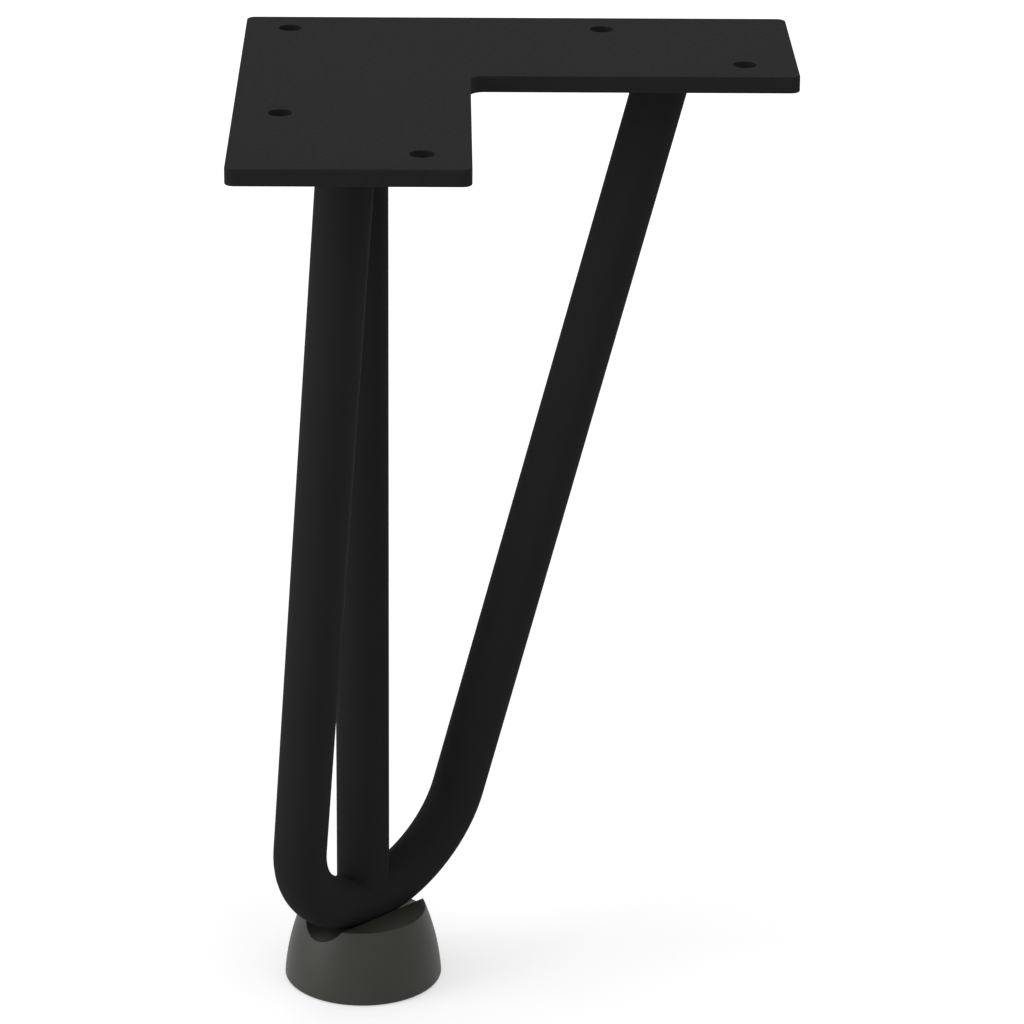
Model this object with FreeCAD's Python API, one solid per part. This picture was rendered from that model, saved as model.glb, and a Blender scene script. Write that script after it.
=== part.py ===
import FreeCAD, Part
import math
import os

from FreeCAD import Vector

# A hairpin furniture leg, in millimetres.
# The origin is on the plate's top face, on the vertical axis of the straight rod and the foot.
# +Z is up. The plate's two arms point along +X and -Y from its outer corner.

# Mounting plate: an L of two equal arms, cut from one flat bar
plate_length = 120.0
arm_width = 49.5
plate_thickness = 3.6
outer_corner_radius = 2.0
inner_corner_radius = 3.0
plate_edge_round = 0.3

# Wood screw holes: one in the corner, and on each arm one by the outer edge and one at the end
screw_hole_diameter = 5.2
screw_edge_inset = 9.9
screw_arm_distance = 78.7
screw_end_inset = 11.4
screw_inner_inset = 10.1

# Rods, all of one diameter: 12 mm bar and its coat
rod_diameter = 12.2
straight_rod_inset = 25.6
leg_top_end_inset = 27.4
leg_top_inset = 23.9
bend_radius = 25.7
bend_offset = 0.9
cope_tip_height = 2.0

# Foot: a round moulded block that widens to its base, with a groove across its top
total_height = 224.0
foot_height = 17.0
foot_base_diameter = 36.6
foot_top_diameter = 29.5
foot_side_crown = 0.6
foot_base_round = 0.8
foot_rim_round = 0.4
groove_depth = 3.4
groove_clearance = 0.3
groove_seat_gap = 0.1
groove_lip_round = 0.8

# Countersunk screw that holds the foot to the bend from below
foot_screw_diameter = 4.0
foot_screw_length = 16.0
foot_screw_head_diameter = 8.0
foot_screw_rim = 0.4
foot_screw_tip_bevel = 0.5
foot_screw_recess = 1.2
foot_screw_clearance = 0.25
foot_screw_seat_gap = 0.05
thread_gap = 0.05
thread_runout = 1.0
socket_across_flats = 2.5
socket_depth = 1.6

# Weld beads
plate_weld_leg = 3.5
bend_weld_thickness = 0.5

# Values worked out from the sizes above
rod_radius = rod_diameter / 2.0
corner_x = -straight_rod_inset
corner_y = straight_rod_inset
plate_underside = -plate_thickness
foot_base_z = -total_height
foot_top_z = foot_base_z + foot_height
groove_floor_z = foot_top_z - groove_depth
bend_axis_z = groove_floor_z + groove_seat_gap + rod_radius

# Directions: across is the hairpin's width, outward points from the corner into the room
across = Vector(1, 1, 0).normalize()
outward = Vector(1, -1, 0).normalize()
up = Vector(0, 0, 1)

# The hairpin lies in a plane that leans out from its bend to the two leg tops
leg_top = Vector(corner_x + plate_length - leg_top_end_inset, corner_y - leg_top_inset, plate_underside)
leg_top_half_width = leg_top.dot(across)
bend_bottom = outward * bend_offset + up * bend_axis_z
hairpin_rise = leg_top - across * leg_top_half_width - bend_bottom
hairpin_height = hairpin_rise.Length
hairpin_up = Vector(hairpin_rise).normalize()
bend_centre = bend_bottom + hairpin_up * bend_radius

# Each leg runs from its top and touches the bend's circle
centre_to_top = math.hypot(leg_top_half_width, hairpin_height - bend_radius)
angle_to_top = math.atan2(leg_top_half_width, hairpin_height - bend_radius)
leg_angle = angle_to_top - math.asin(bend_radius / centre_to_top)


def block_above(z):
    """A block that covers everything above the height z."""
    reach = 4.0 * plate_length
    return Part.makeBox(2 * reach, 2 * reach, reach, Vector(-reach, -reach, z))


def plate_outline():
    """The L seen from above, as corner points going round from the outer corner."""
    arms = [
        (0.0, 0.0),
        (plate_length, 0.0),
        (plate_length, -arm_width),
        (arm_width, -arm_width),
        (arm_width, -plate_length),
        (0.0, -plate_length),
    ]
    return [Vector(corner_x + x, corner_y + y, plate_underside) for x, y in arms]


def screw_positions():
    """Centres of the five screw holes, as distances along and across from the outer corner."""
    end_along = plate_length - screw_end_inset
    end_across = arm_width - screw_inner_inset
    return [
        (screw_edge_inset, screw_edge_inset),
        (screw_arm_distance, screw_edge_inset),
        (screw_edge_inset, screw_arm_distance),
        (end_along, end_across),
        (end_across, end_along),
    ]


def vertical_edges(shape):
    """Straight edges that run along Z."""
    found = []
    for edge in shape.Edges:
        first, last = edge.Vertexes[0].Point, edge.Vertexes[-1].Point
        if abs(first.z - last.z) > 1e-6 and math.hypot(first.x - last.x, first.y - last.y) < 1e-6:
            found.append(edge)
    return found


def mounting_plate():
    points = plate_outline()
    slab = Part.Face(Part.makePolygon(points + points[:1])).extrude(up * plate_thickness)
    inner = points[3]
    corners = vertical_edges(slab)
    inner_edges = [e for e in corners if e.distToShape(Part.Vertex(inner))[0] < 1e-6]
    outer_edges = [e for e in corners if e.distToShape(Part.Vertex(inner))[0] > 1e-6]
    slab = slab.makeFillet(inner_corner_radius, inner_edges)
    outer_points = [e.CenterOfMass for e in outer_edges]
    outer_edges = [
        e for e in vertical_edges(slab)
        if any(e.CenterOfMass.distanceToPoint(p) < 1e-6 for p in outer_points)
    ]
    slab = slab.makeFillet(outer_corner_radius, outer_edges)
    rims = [e for e in slab.Edges if e.BoundBox.ZLength < 1e-6]
    slab = slab.makeFillet(plate_edge_round, rims)
    for along, inset in screw_positions():
        base = Vector(corner_x + along, corner_y - inset, plate_underside - 1.0)
        slab = slab.cut(Part.makeCylinder(screw_hole_diameter / 2.0, plate_thickness + 2.0, base, up))
    return slab


def mirrored(point):
    """The same point on the other arm's side."""
    return point - across * (2.0 * point.dot(across))


def tangent_point():
    """Where the right arm's leg meets the bend, measured from the bend's centre."""
    sideways = across * (bend_radius * math.cos(leg_angle))
    return bend_centre + sideways - hairpin_up * (bend_radius * math.sin(leg_angle))


def leg_direction():
    """Unit direction of the right arm's leg, from the bend up to its top."""
    return across * math.sin(leg_angle) + hairpin_up * math.cos(leg_angle)


def hairpin_tube(radius):
    """The bent rod with any radius: leg, bend and leg, with tops that run past the plate's underside."""
    start = tangent_point()
    direction = leg_direction()
    overrun = 2.0 * radius
    length = (leg_top - start).Length + overrun
    right_leg = Part.makeCylinder(radius, length, start, direction)
    front_leg = Part.makeCylinder(radius, length, mirrored(start), mirrored(direction))
    section = Part.Face(Part.Wire(Part.makeCircle(radius, start, direction)))
    turn = 180.0 - 2.0 * math.degrees(leg_angle)
    bend = section.revolve(bend_centre, across.cross(hairpin_up), -turn)
    return right_leg.fuse([bend, front_leg]).removeSplitter()


def hairpin_rod():
    rod = hairpin_tube(rod_radius).cut(block_above(plate_underside))
    return rod.cut(thread_hole())


def straight_rod():
    length = plate_underside - bend_axis_z - cope_tip_height
    base = up * (bend_axis_z + cope_tip_height)
    rod = Part.makeCylinder(rod_radius, length, base, up)
    return rod.cut(hairpin_tube(rod_radius))


def foot_profile():
    """Half of the foot's section, from the axis round its outside and back to the axis."""
    base_r = foot_base_diameter / 2.0
    top_r = foot_top_diameter / 2.0
    low = Vector(base_r, 0, foot_base_z + foot_base_round)
    high = Vector(top_r, 0, foot_top_z - foot_rim_round)
    side = (high - low).normalize()
    crown = (low + high) * 0.5 + Vector(side.z, 0, -side.x) * foot_side_crown
    quarter = math.sqrt(0.5)
    base_start = Vector(base_r - foot_base_round, 0, foot_base_z)
    base_centre = Vector(base_r - foot_base_round, 0, foot_base_z + foot_base_round)
    base_mid = base_centre + Vector(quarter, 0, -quarter) * foot_base_round
    rim_end = Vector(top_r - foot_rim_round, 0, foot_top_z)
    rim_centre = Vector(top_r - foot_rim_round, 0, foot_top_z - foot_rim_round)
    rim_mid = rim_centre + Vector(quarter, 0, quarter) * foot_rim_round
    bottom = Vector(0, 0, foot_base_z)
    top = Vector(0, 0, foot_top_z)
    edges = [
        Part.LineSegment(bottom, base_start).toShape(),
        Part.Arc(base_start, base_mid, low).toShape(),
        Part.Arc(low, crown, high).toShape(),
        Part.Arc(high, rim_mid, rim_end).toShape(),
        Part.LineSegment(rim_end, top).toShape(),
        Part.LineSegment(top, bottom).toShape(),
    ]
    return Part.Face(Part.Wire(edges))


def groove_cutter():
    """A straight channel across the foot: a round floor whose two lips roll over into the flat top."""
    radius = rod_radius + groove_clearance
    centre_z = groove_floor_z + radius
    lip_z = foot_top_z - groove_lip_round
    lip_d = math.sqrt((radius + groove_lip_round) ** 2 - (centre_z - lip_z) ** 2)
    share = radius / (radius + groove_lip_round)
    touch_d = lip_d * share
    touch_z = centre_z - (centre_z - lip_z) * share
    lean = math.atan2(centre_z - lip_z, lip_d)
    half = (math.pi / 2.0 + lean) / 2.0
    mid_d = lip_d - groove_lip_round * math.cos(half)
    mid_z = lip_z + groove_lip_round * math.sin(half)
    clear_z = foot_top_z + foot_height

    def at(d, z):
        return outward * (bend_offset + d) + up * z

    edges = [
        Part.Arc(at(-lip_d, foot_top_z), at(-mid_d, mid_z), at(-touch_d, touch_z)).toShape(),
        Part.Arc(at(-touch_d, touch_z), at(0, groove_floor_z), at(touch_d, touch_z)).toShape(),
        Part.Arc(at(touch_d, touch_z), at(mid_d, mid_z), at(lip_d, foot_top_z)).toShape(),
        Part.LineSegment(at(lip_d, foot_top_z), at(lip_d, clear_z)).toShape(),
        Part.LineSegment(at(lip_d, clear_z), at(-lip_d, clear_z)).toShape(),
        Part.LineSegment(at(-lip_d, clear_z), at(-lip_d, foot_top_z)).toShape(),
    ]
    channel = Part.Face(Part.Wire(edges)).extrude(across * (2.0 * foot_base_diameter))
    channel.translate(across * -foot_base_diameter)
    return channel


def foot_screw_hole():
    """Clearance hole, countersink and recess, from the foot's base up into the groove."""
    shank_r = foot_screw_diameter / 2.0 + foot_screw_clearance
    head_r = foot_screw_head_diameter / 2.0 + foot_screw_clearance
    cone_start = foot_screw_recess + foot_screw_rim + foot_screw_seat_gap - foot_screw_clearance
    cone_height = head_r - shank_r
    shank = Part.makeCylinder(shank_r, foot_height, Vector(0, 0, foot_base_z), up)
    recess = Part.makeCylinder(head_r, cone_start + 1.0, Vector(0, 0, foot_base_z - 1.0), up)
    cone = Part.makeCone(head_r, shank_r, cone_height, Vector(0, 0, foot_base_z + cone_start), up)
    return shank.fuse([recess, cone])


def thread_hole():
    """The blind hole in the bend that takes the screw's end."""
    radius = foot_screw_diameter / 2.0 + thread_gap
    top_z = foot_base_z + foot_screw_recess + foot_screw_length + thread_runout
    start_z = bend_axis_z - 2.0 * rod_radius
    return Part.makeCylinder(radius, top_z - start_z, Vector(0, 0, start_z), up)


def foot_cap():
    foot = foot_profile().revolve(Vector(0, 0, 0), up, 360.0)
    return foot.cut(groove_cutter()).cut(foot_screw_hole())


def foot_screw():
    """A screw with a flat countersunk head, a hexagon socket below and a bevelled end above."""
    shank_r = foot_screw_diameter / 2.0
    head_r = foot_screw_head_diameter / 2.0
    face_z = foot_base_z + foot_screw_recess
    cone_z = face_z + foot_screw_rim
    tip_z = face_z + foot_screw_length
    outline = [
        Vector(0, 0, face_z),
        Vector(head_r, 0, face_z),
        Vector(head_r, 0, cone_z),
        Vector(shank_r, 0, cone_z + head_r - shank_r),
        Vector(shank_r, 0, tip_z - foot_screw_tip_bevel),
        Vector(shank_r - foot_screw_tip_bevel, 0, tip_z),
        Vector(0, 0, tip_z),
        Vector(0, 0, face_z),
    ]
    screw = Part.Face(Part.makePolygon(outline)).revolve(Vector(0, 0, 0), up, 360.0)
    corner_r = socket_across_flats / 2.0 / math.cos(math.pi / 6.0)
    corners = [
        Vector(corner_r * math.cos(math.pi / 3.0 * i), corner_r * math.sin(math.pi / 3.0 * i), face_z)
        for i in range(7)
    ]
    socket = Part.Face(Part.makePolygon(corners)).extrude(up * socket_depth)
    return screw.cut(socket)


def weld_at_top(top, direction):
    """A bead round a rod's top: a cone along the rod, cut flat under the plate and hollow for the rod."""
    height = plate_weld_leg + 2.0 * rod_radius
    start = top - direction * plate_weld_leg
    cone = Part.makeCone(rod_radius, rod_radius + height, height, start, direction)
    core = Part.makeCylinder(rod_radius, 2.0 * height, start - direction * height, direction)
    return cone.cut(core).cut(block_above(plate_underside))


def weld_bend():
    """A thin bead along the coped joint: what lies within its thickness of both rods."""
    reach = rod_radius + bend_weld_thickness
    near_rod = Part.makeCylinder(reach, 2.0 * reach, up * bend_axis_z, up)
    near_bend = hairpin_tube(reach)
    return near_rod.common(near_bend).cut(hairpin_tube(rod_radius)).cut(straight_rod())


def write(name, shape):
    shape.exportStep("parts/" + name + ".step")
    print(name, "solids", len(shape.Solids), "valid", shape.isValid(), "volume", round(shape.Volume, 1))


os.makedirs("parts", exist_ok=True)
write("mounting_plate", mounting_plate())
write("hairpin_rod", hairpin_rod())
write("straight_rod", straight_rod())
write("foot_cap", foot_cap())
write("foot_screw", foot_screw())
write("weld_right_arm", weld_at_top(leg_top, leg_direction()))
write("weld_front_arm", weld_at_top(mirrored(leg_top), mirrored(leg_direction())))
write("weld_corner", weld_at_top(Vector(0, 0, plate_underside), up))
write("weld_bend", weld_bend())
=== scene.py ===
"""The finish of a hairpin table leg: coated plate and rods, weld beads, a moulded foot and its screw."""
import math

import bpy
import numpy as np
from mathutils import Matrix, Vector


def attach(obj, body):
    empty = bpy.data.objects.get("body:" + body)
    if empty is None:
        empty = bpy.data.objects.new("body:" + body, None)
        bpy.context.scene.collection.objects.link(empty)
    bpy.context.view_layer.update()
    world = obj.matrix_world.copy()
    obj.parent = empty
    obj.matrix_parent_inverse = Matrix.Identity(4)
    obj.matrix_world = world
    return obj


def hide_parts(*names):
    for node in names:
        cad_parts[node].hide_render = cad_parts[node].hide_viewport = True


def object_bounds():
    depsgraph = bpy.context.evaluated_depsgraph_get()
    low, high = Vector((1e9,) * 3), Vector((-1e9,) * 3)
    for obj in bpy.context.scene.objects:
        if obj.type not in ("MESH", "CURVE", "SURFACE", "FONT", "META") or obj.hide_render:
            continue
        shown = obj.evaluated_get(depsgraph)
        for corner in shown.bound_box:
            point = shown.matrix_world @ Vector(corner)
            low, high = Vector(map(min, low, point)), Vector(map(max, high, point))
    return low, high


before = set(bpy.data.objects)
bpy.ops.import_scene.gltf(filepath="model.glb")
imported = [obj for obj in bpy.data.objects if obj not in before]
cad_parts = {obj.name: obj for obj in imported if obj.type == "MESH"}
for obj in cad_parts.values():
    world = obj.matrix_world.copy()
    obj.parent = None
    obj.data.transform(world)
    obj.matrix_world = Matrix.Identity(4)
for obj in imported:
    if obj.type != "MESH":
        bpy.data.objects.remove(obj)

MM = 0.001
CAD_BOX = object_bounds()

# The photograph's view, in metres and degrees in the model's frame
PHOTO_WIDTH_PX = 1024
CAMERA_PLACE = Vector((0.01692, -0.97079, 0.25948))
CAMERA_TURN = 1.0065
CAMERA_PITCH = 20.7483
CAMERA_ROLL = 0.5165
FOCAL_LENGTH_PX = 4586.8
SENSOR_WIDTH_MM = 36.0
CAMERA_NEAR_M = 0.05
CAMERA_FAR_M = 100.0

# The leg's own sizes that its weld beads follow, in millimetres, as in the part's source
ROD_RADIUS_MM = 6.1
PLATE_UNDERSIDE_MM = -3.6
RIGHT_LEG_TOP_MM = (67.0, 1.7)
BEND_RADIUS_MM = 25.7
BEND_OUT_MM = 0.9
BEND_AXIS_MM = -204.2

# The beads' size and shape: lengths in millimetres, swells as shares of the leg length, turns in radians
BEAD_LEG_MM = 3.3
BEAD_CROWN_MM = 0.9
BEAD_SINK_MM = 0.05
BEAD_ROOT_MM = 0.3
SLOW_SWELL = 0.035
QUICK_SWELL = 0.025
LAP_SWELL = 0.09
LAP_TURN = 0.3
RIPPLE_COUNT = 34
RIPPLE_DEPTH_MM = 0.2
RIPPLE_FADE = 0.7
STEPS_PER_RIPPLE = 9
STEPS_ACROSS = 14
SHARP_EDGE_DEGREES = 50.0

# Finish colours, as the fraction of light that comes back
PLATE_BLACK = (0.0138, 0.0138, 0.0138)
ROD_BLACK = (0.0170, 0.0170, 0.0172)
FOOT_GREY = (0.0250, 0.0261, 0.0202)
ZINC = (0.56, 0.57, 0.58)
PALE_FLOOR = (0.80, 0.80, 0.80)
WHITE = (1.0, 1.0, 1.0, 1.0)

# Soft light: the share that comes from all round, and lamps as (name, place from the middle, side, watts)
AMBIENT = 0.55
LAMPS = (
    ("overhead lamp", (0.0, 0.1, 1.5), 1.1, 1.5),
    ("left lamp", (-1.42, -0.46, 0.3), 1.0, 12.0),
    ("right lamp", (0.55, -0.95, 1.1), 0.9, 3.2),
)

# The floor, and how much light it adds for the eye: less near the leg, where its shadow lies, more far off
FLOOR_HALF_M = 6.0
FLOOR_GAP_MM = 0.05
FLOOR_ROUGH = 0.9
FLOOR_SHEEN = 0.1
FLOOR_LIFT_NEAR = 0.45
FLOOR_LIFT_FAR = 0.62
FLOOR_NEAR_M = 0.3
FLOOR_FAR_M = 0.8


# Nodes that the finishes share

def add_group(name, inputs, outputs):
    """An empty shader node group with named sockets, each given as (name, socket type, value)."""
    group = bpy.data.node_groups.new(name, "ShaderNodeTree")
    for label, kind, value in inputs:
        socket = group.interface.new_socket(label, in_out="INPUT", socket_type=kind)
        if value is not None:
            socket.default_value = value
    for label, kind in outputs:
        group.interface.new_socket(label, in_out="OUTPUT", socket_type=kind)
    return group, group.nodes.new("NodeGroupInput"), group.nodes.new("NodeGroupOutput")


def feed(tree, socket, value):
    """Gives an input socket its value: a link from an output socket, or a plain number."""
    if isinstance(value, bpy.types.NodeSocket):
        tree.links.new(value, socket)
    else:
        socket.default_value = value


def math_node(tree, operation, first, second):
    """A math node whose two inputs are sockets or plain numbers; returns its output socket."""
    node = tree.nodes.new("ShaderNodeMath")
    node.operation = operation
    feed(tree, node.inputs[0], first)
    feed(tree, node.inputs[1], second)
    return node.outputs[0]


def noise_node(tree, place, scale, detail):
    """Noise over a place vector; scale is in ridges per metre, detail in finer layers. Returns its value."""
    node = tree.nodes.new("ShaderNodeTexNoise")
    feed(tree, node.inputs["Vector"], place)
    feed(tree, node.inputs["Scale"], scale)
    feed(tree, node.inputs["Detail"], detail)
    return node.outputs["Fac"]


def make_skin_group():
    """Surface relief in metres: a soft peel with a finer grain on it, each with its own size and depth."""
    group, given, out = add_group(
        "skin relief",
        [
            ("Place", "NodeSocketVector", None),
            ("Peel Size", "NodeSocketFloat", 700.0),
            ("Peel Depth", "NodeSocketFloat", 0.020 * MM),
            ("Grain Size", "NodeSocketFloat", 3000.0),
            ("Grain Depth", "NodeSocketFloat", 0.006 * MM),
        ],
        [("Relief", "NodeSocketFloat"), ("Peel", "NodeSocketFloat")],
    )
    peel = noise_node(group, given.outputs["Place"], given.outputs["Peel Size"], detail=2.0)
    grain = noise_node(group, given.outputs["Place"], given.outputs["Grain Size"], detail=1.0)
    peel_part = math_node(group, "MULTIPLY", peel, given.outputs["Peel Depth"])
    grain_part = math_node(group, "MULTIPLY", grain, given.outputs["Grain Depth"])
    group.links.new(math_node(group, "ADD", peel_part, grain_part), out.inputs["Relief"])
    group.links.new(peel, out.inputs["Peel"])
    return group


def make_tone_group():
    """A colour that drifts a little lighter and darker: times one plus the drift times a centred noise."""
    group, given, out = add_group(
        "tone drift",
        [
            ("Place", "NodeSocketVector", None),
            ("Tone", "NodeSocketColor", (0.5, 0.5, 0.5, 1.0)),
            ("Drift Size", "NodeSocketFloat", 30.0),
            ("Drift", "NodeSocketFloat", 0.1),
        ],
        [("Tone", "NodeSocketColor")],
    )
    cloud = noise_node(group, given.outputs["Place"], given.outputs["Drift Size"], detail=3.0)
    centred = math_node(group, "SUBTRACT", cloud, 0.5)
    swing = math_node(group, "MULTIPLY", centred, given.outputs["Drift"])
    gain = math_node(group, "ADD", swing, 1.0)
    scale = group.nodes.new("ShaderNodeVectorMath")
    scale.operation = "SCALE"
    group.links.new(given.outputs["Tone"], scale.inputs[0])
    group.links.new(gain, scale.inputs["Scale"])
    group.links.new(scale.outputs[0], out.inputs["Tone"])
    return group


SKIN = make_skin_group()
TONE = make_tone_group()


# Finishes of the leg

def start_material(name, tone):
    """A material with a Principled shader of one base tone, and a place vector in object space."""
    material = bpy.data.materials.new(name)
    material.use_nodes = True
    tree = material.node_tree
    shader = tree.nodes["Principled BSDF"]
    shader.inputs["Base Color"].default_value = (*tone, 1.0)
    place = tree.nodes.new("ShaderNodeTexCoord").outputs["Object"]
    material.diffuse_color = (*tone, 1.0)
    return material, tree, shader, place


def place_group(tree, group, place, **values):
    """Adds a node group, feeds it the place vector and sets its named inputs, with spaces as underscores."""
    node = tree.nodes.new("ShaderNodeGroup")
    node.node_tree = group
    tree.links.new(place, node.inputs["Place"])
    for name, value in values.items():
        node.inputs[name.replace("_", " ")].default_value = value
    return node


def drive_surface(tree, shader, place, tone, skin, drift, drift_size, rough, rough_swing):
    """Joins drifting colour, roughness that follows the peel, and relief in metres to the shader."""
    colour = place_group(tree, TONE, place, Tone=(*tone, 1.0), Drift_Size=drift_size, Drift=drift)
    tree.links.new(colour.outputs["Tone"], shader.inputs["Base Color"])
    relief = place_group(tree, SKIN, place, **skin)
    spread = tree.nodes.new("ShaderNodeMapRange")
    spread.inputs["To Min"].default_value = rough - rough_swing
    spread.inputs["To Max"].default_value = rough + rough_swing
    tree.links.new(relief.outputs["Peel"], spread.inputs["Value"])
    tree.links.new(spread.outputs["Result"], shader.inputs["Roughness"])
    bump = tree.nodes.new("ShaderNodeBump")
    bump.inputs["Strength"].default_value = 1.0
    bump.inputs["Distance"].default_value = 1.0
    tree.links.new(relief.outputs["Relief"], bump.inputs["Height"])
    tree.links.new(bump.outputs["Normal"], shader.inputs["Normal"])


def powder_coat(name, tone, rough, sheen):
    """Matt powder coat: a fine peel over the steel, with no metal showing; sheen is how much it mirrors."""
    material, tree, shader, place = start_material(name, tone)
    skin = dict(Peel_Size=800.0, Peel_Depth=0.040 * MM, Grain_Size=3000.0, Grain_Depth=0.016 * MM)
    drive_surface(
        tree, shader, place, tone, skin,
        drift=0.16, drift_size=26.0, rough=rough, rough_swing=0.09,
    )
    shader.inputs["Specular IOR Level"].default_value = sheen
    return material


def moulded_foot(sheen):
    """Dark olive grey moulded plastic with a fine eroded grain; sheen is how much it mirrors."""
    material, tree, shader, place = start_material("foot plastic", FOOT_GREY)
    skin = dict(Peel_Size=1500.0, Peel_Depth=0.018 * MM, Grain_Size=4600.0, Grain_Depth=0.014 * MM)
    drive_surface(
        tree, shader, place, FOOT_GREY, skin,
        drift=0.2, drift_size=60.0, rough=0.5, rough_swing=0.06,
    )
    shader.inputs["Specular IOR Level"].default_value = sheen
    return material


def zinc_screw():
    """Zinc-plated steel with a faint mottle."""
    material, tree, shader, place = start_material("zinc plate", ZINC)
    skin = dict(Peel_Size=1800.0, Peel_Depth=0.004 * MM, Grain_Size=6000.0, Grain_Depth=0.002 * MM)
    drive_surface(
        tree, shader, place, ZINC, skin,
        drift=0.12, drift_size=240.0, rough=0.36, rough_swing=0.08,
    )
    shader.inputs["Metallic"].default_value = 1.0
    return material


def set_material(piece, material):
    """Gives every face of a piece one material."""
    piece.data.materials.clear()
    piece.data.materials.append(material)


def dress_nodes():
    """Each solid of the frame gets its finish."""
    plate = powder_coat("plate coat", PLATE_BLACK, rough=0.9, sheen=0.1)
    rods = powder_coat("rod coat", ROD_BLACK, rough=0.84, sheen=0.03)
    finishes = {
        "mounting_plate": plate,
        "hairpin_rod": rods,
        "straight_rod": rods,
        "weld_right_arm": rods,
        "weld_front_arm": rods,
        "weld_corner": rods,
        "weld_bend": rods,
        "foot_cap": moulded_foot(sheen=0.33),
        "foot_screw": zinc_screw(),
    }
    for name, finish in finishes.items():
        set_material(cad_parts[name], finish)


# Weld beads under the plate

def unit(vectors):
    """The vectors of an array, each divided by its own length."""
    return vectors / np.linalg.norm(vectors, axis=-1, keepdims=True)


def right_leg_direction():
    """The way up the hairpin's leg that meets the right arm.

    Both legs and their bend lie in one leaning plane, which holds the level line across the corner's
    diagonal. The leg touches the bend's circle. Its angle from the plane's middle line is the angle of
    the line from the circle's centre to the leg's top, less the one whose sine is the bend's radius
    over the length of that line.
    """
    across = unit(np.array((1.0, 1.0, 0.0)))
    outward = unit(np.array((1.0, -1.0, 0.0)))
    top = np.array((*RIGHT_LEG_TOP_MM, PLATE_UNDERSIDE_MM))
    half_width = top @ across
    bend_bottom = BEND_OUT_MM * outward + np.array((0.0, 0.0, BEND_AXIS_MM))
    middle = top - half_width * across - bend_bottom
    over_centre = np.linalg.norm(middle) - BEND_RADIUS_MM
    to_top = math.hypot(half_width, over_centre)
    angle = math.atan2(half_width, over_centre) - math.asin(BEND_RADIUS_MM / to_top)
    return math.sin(angle) * across + math.cos(angle) * unit(middle)


def mirrored(place):
    """A point or direction mirrored in the corner's diagonal: x and y change places and signs."""
    x, y, z = place
    return np.array((-y, -x, z))


def bead_leg(turn, start):
    """Leg length at a turn round the rod, in millimetres.

    It is one size plus two swells, sines of twice and five times the turn, and a lap where the bead
    began, which falls off as a bell curve of the turn from there.
    """
    swell = SLOW_SWELL * np.sin(2.0 * turn + start) + QUICK_SWELL * np.sin(5.0 * turn + 2.0 * start)
    from_start = np.angle(np.exp(1j * (turn - start)))
    lap = LAP_SWELL * np.exp(-((from_start / LAP_TURN) ** 2))
    return BEAD_LEG_MM * (1.0 + swell + lap)


def bead_points(centre, direction, start):
    """Points of a rippled fillet between a rod and the plate, on a grid of turn by step across.

    The corner at each turn is where the rod's side meets the plate: an ellipse, as long as the radius
    over the direction's rise. The lower toe lies one leg down the rod from it and the upper toe one leg
    out on the plate. Across the face runs a quadratic curve from toe to toe, its middle pushed out by
    the crown. Each ripple adds the size of a sine of the turn, which lags in the middle of the face, so
    it is a crescent, and fades to the toes. One last row, sunk in the steel behind the corner, closes
    the ring.
    """
    up = np.array((0.0, 0.0, 1.0))
    lean = direction * (1.0, 1.0, 0.0)
    along = unit(lean) if lean.any() else np.array((1.0, 0.0, 0.0))
    across = np.cross(up, along)
    half_length = ROD_RADIUS_MM / direction[2]

    turn = np.linspace(0.0, 2.0 * np.pi, RIPPLE_COUNT * STEPS_PER_RIPPLE, endpoint=False)[:, None]
    corner = centre + half_length * np.cos(turn) * along + ROD_RADIUS_MM * np.sin(turn) * across
    outward = unit(np.cos(turn) / half_length * along + np.sin(turn) / ROD_RADIUS_MM * across)
    arm = corner - centre
    off_rod = unit(arm - (arm @ direction)[:, None] * direction)
    leg = bead_leg(turn, start)
    low = corner - leg * direction - BEAD_SINK_MM * off_rod
    high = corner + leg * outward + BEAD_SINK_MM * up
    face_out = unit((low + high) / 2.0 - corner)
    crown = (low + high) / 2.0 + BEAD_CROWN_MM * face_out
    root = corner - BEAD_ROOT_MM * off_rod + BEAD_ROOT_MM * up

    step = np.linspace(0.0, 1.0, STEPS_ACROSS)[None, :, None]
    back = 1.0 - step
    face = back ** 2 * low[:, None] + 2.0 * step * back * crown[:, None] + step ** 2 * high[:, None]
    lag = 0.5 * (1.0 - (2.0 * step - 1.0) ** 2)
    wave = np.abs(np.sin(np.pi * (RIPPLE_COUNT * turn[:, :, None] / (2.0 * np.pi) - lag)))
    face = face + RIPPLE_DEPTH_MM * wave * np.sin(np.pi * step) ** RIPPLE_FADE * face_out[:, None]
    return np.concatenate((face, root[:, None]), axis=1)


def ring_faces(rows, columns):
    """Quads over a grid that closes on itself both ways, as corner numbers in the order to face out."""
    row, column = np.meshgrid(np.arange(rows), np.arange(columns), indexing="ij")
    next_row = (row + 1) % rows
    next_column = (column + 1) % columns
    quads = (
        row * columns + column,
        next_row * columns + column,
        next_row * columns + next_column,
        row * columns + next_column,
    )
    return np.stack(quads, axis=-1).reshape(-1, 4)


def add_bead(name, node, centre, direction, start, finish):
    """One weld bead round a rod's top, in place of the plain one; start is the turn where it began."""
    points = bead_points(centre, direction, start)
    mesh = bpy.data.meshes.new(name)
    mesh.from_pydata(points.reshape(-1, 3) * MM, [], ring_faces(*points.shape[:2]))
    mesh.shade_smooth()
    mesh.set_sharp_from_angle(angle=math.radians(SHARP_EDGE_DEGREES))
    bead = bpy.data.objects.new(name, mesh)
    bpy.context.scene.collection.objects.link(bead)
    set_material(bead, finish)
    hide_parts(node)
    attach(bead, "root")


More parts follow.
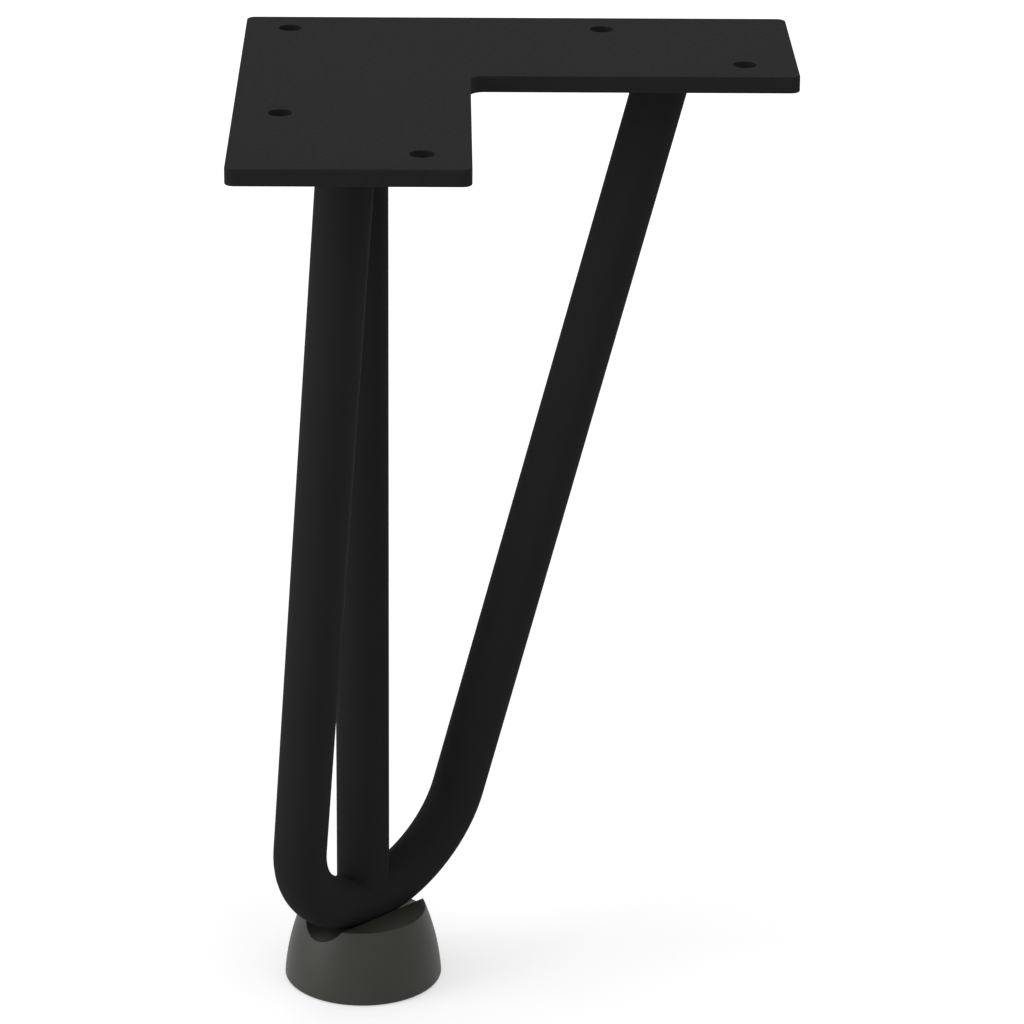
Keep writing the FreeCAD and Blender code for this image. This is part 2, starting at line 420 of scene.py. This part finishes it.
def add_beads():
    """The three beads under the plate, in the rods' own coat."""
    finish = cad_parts["straight_rod"].data.materials[0]
    leg_top = np.array((*RIGHT_LEG_TOP_MM, PLATE_UNDERSIDE_MM))
    leg_up = right_leg_direction()
    corner_top = np.array((0.0, 0.0, PLATE_UNDERSIDE_MM))
    corner_up = np.array((0.0, 0.0, 1.0))
    rod_tops = (
        ("bead_right_arm", "weld_right_arm", leg_top, leg_up, 2.2),
        ("bead_front_arm", "weld_front_arm", mirrored(leg_top), mirrored(leg_up), 5.0),
        ("bead_corner", "weld_corner", corner_top, corner_up, 3.6),
    )
    for name, node, centre, direction, start in rod_tops:
        add_bead(name, node, centre, direction, start, finish)


# Floor, light and camera

def seen_directly(tree):
    """One for rays from the camera, a mirror or a clear thing, and zero for those of soft light."""
    rays = tree.nodes.new("ShaderNodeLightPath").outputs
    seen = math_node(tree, "MAXIMUM", rays["Is Camera Ray"], rays["Is Glossy Ray"])
    return math_node(tree, "MAXIMUM", seen, rays["Is Transmission Ray"])


def floor_material():
    """Pale matt floor that looks white to the eye where no shadow lies, and is clear from below."""
    material = bpy.data.materials.new("pale floor")
    material.use_nodes = True
    tree = material.node_tree
    shader = tree.nodes["Principled BSDF"]
    shader.inputs["Base Color"].default_value = (*PALE_FLOOR, 1.0)
    shader.inputs["Roughness"].default_value = FLOOR_ROUGH
    shader.inputs["Specular IOR Level"].default_value = FLOOR_SHEEN
    shader.inputs["Emission Color"].default_value = WHITE
    reach = tree.nodes.new("ShaderNodeVectorMath")
    reach.operation = "LENGTH"
    tree.links.new(tree.nodes.new("ShaderNodeTexCoord").outputs["Object"], reach.inputs[0])
    fade = tree.nodes.new("ShaderNodeMapRange")
    fade.inputs["From Min"].default_value = FLOOR_NEAR_M
    fade.inputs["From Max"].default_value = FLOOR_FAR_M
    fade.inputs["To Min"].default_value = FLOOR_LIFT_NEAR
    fade.inputs["To Max"].default_value = FLOOR_LIFT_FAR
    tree.links.new(reach.outputs["Value"], fade.inputs["Value"])
    lift = math_node(tree, "MULTIPLY", seen_directly(tree), fade.outputs["Result"])
    tree.links.new(lift, shader.inputs["Emission Strength"])
    clear = tree.nodes.new("ShaderNodeBsdfTransparent")
    side = tree.nodes.new("ShaderNodeMixShader")
    tree.links.new(tree.nodes.new("ShaderNodeNewGeometry").outputs["Backfacing"], side.inputs["Fac"])
    tree.links.new(shader.outputs["BSDF"], side.inputs[1])
    tree.links.new(clear.outputs["BSDF"], side.inputs[2])
    tree.links.new(side.outputs["Shader"], tree.nodes["Material Output"].inputs["Surface"])
    return material


def add_floor():
    """A wide square floor just under the foot."""
    half = FLOOR_HALF_M
    level = CAD_BOX[0].z - FLOOR_GAP_MM * MM
    mesh = bpy.data.meshes.new("floor")
    corners = [(-half, -half, level), (half, -half, level), (half, half, level), (-half, half, level)]
    mesh.from_pydata(corners, [], [(0, 1, 2, 3)])
    floor = bpy.data.objects.new("floor", mesh)
    bpy.context.scene.collection.objects.link(floor)
    set_material(floor, floor_material())


def add_world():
    """Plain soft light from all round, and white where the camera or a reflection looks past the floor."""
    world = bpy.data.worlds.new("studio")
    bpy.context.scene.world = world
    world.use_nodes = True
    tree = world.node_tree
    back = tree.nodes["Background"]
    back.inputs["Color"].default_value = WHITE
    rest = math_node(tree, "MULTIPLY", seen_directly(tree), 1.0 - AMBIENT)
    tree.links.new(math_node(tree, "ADD", rest, AMBIENT), back.inputs["Strength"])


def add_lamp(name, place, aim, size, power):
    """A soft square lamp at a place, turned to an aim point; its power is in watts."""
    lamp = bpy.data.lights.new(name, "AREA")
    lamp.size = size
    lamp.energy = power
    item = bpy.data.objects.new(name, lamp)
    bpy.context.scene.collection.objects.link(item)
    item.location = place
    item.rotation_euler = (Vector(aim) - Vector(place)).to_track_quat("-Z", "Y").to_euler()


def add_lamps():
    """The soft lamps of the studio, all turned to the middle of the leg."""
    middle = (CAD_BOX[0] + CAD_BOX[1]) / 2.0
    for name, place, size, power in LAMPS:
        add_lamp(name, middle + Vector(place), middle, size, power)


def add_camera():
    """The photograph's camera: a long lens, whose sight is given by a turn about Z, a pitch and a roll."""
    lens = bpy.data.cameras.new("photo camera")
    lens.sensor_width = SENSOR_WIDTH_MM
    lens.sensor_fit = "HORIZONTAL"
    lens.lens = FOCAL_LENGTH_PX / PHOTO_WIDTH_PX * SENSOR_WIDTH_MM
    lens.clip_start = CAMERA_NEAR_M
    lens.clip_end = CAMERA_FAR_M
    camera = bpy.data.objects.new("photo camera", lens)
    bpy.context.scene.collection.objects.link(camera)
    turn, pitch, roll = (math.radians(angle) for angle in (CAMERA_TURN, CAMERA_PITCH, CAMERA_ROLL))
    level = math.cos(pitch)
    sight = Vector((math.sin(turn) * level, math.cos(turn) * level, -math.sin(pitch)))
    level_right = Vector((math.cos(turn), -math.sin(turn), 0.0))
    level_up = level_right.cross(sight)
    right = level_right * math.cos(roll) + level_up * math.sin(roll)
    up = level_up * math.cos(roll) - level_right * math.sin(roll)
    axes = Matrix((right, up, -sight)).transposed()
    camera.matrix_world = Matrix.Translation(CAMERA_PLACE) @ axes.to_4x4()
    bpy.context.scene.camera = camera


dress_nodes()
add_beads()
add_floor()
add_world()
add_lamps()
add_camera()
bpy.context.scene.view_settings.view_transform = "Standard"
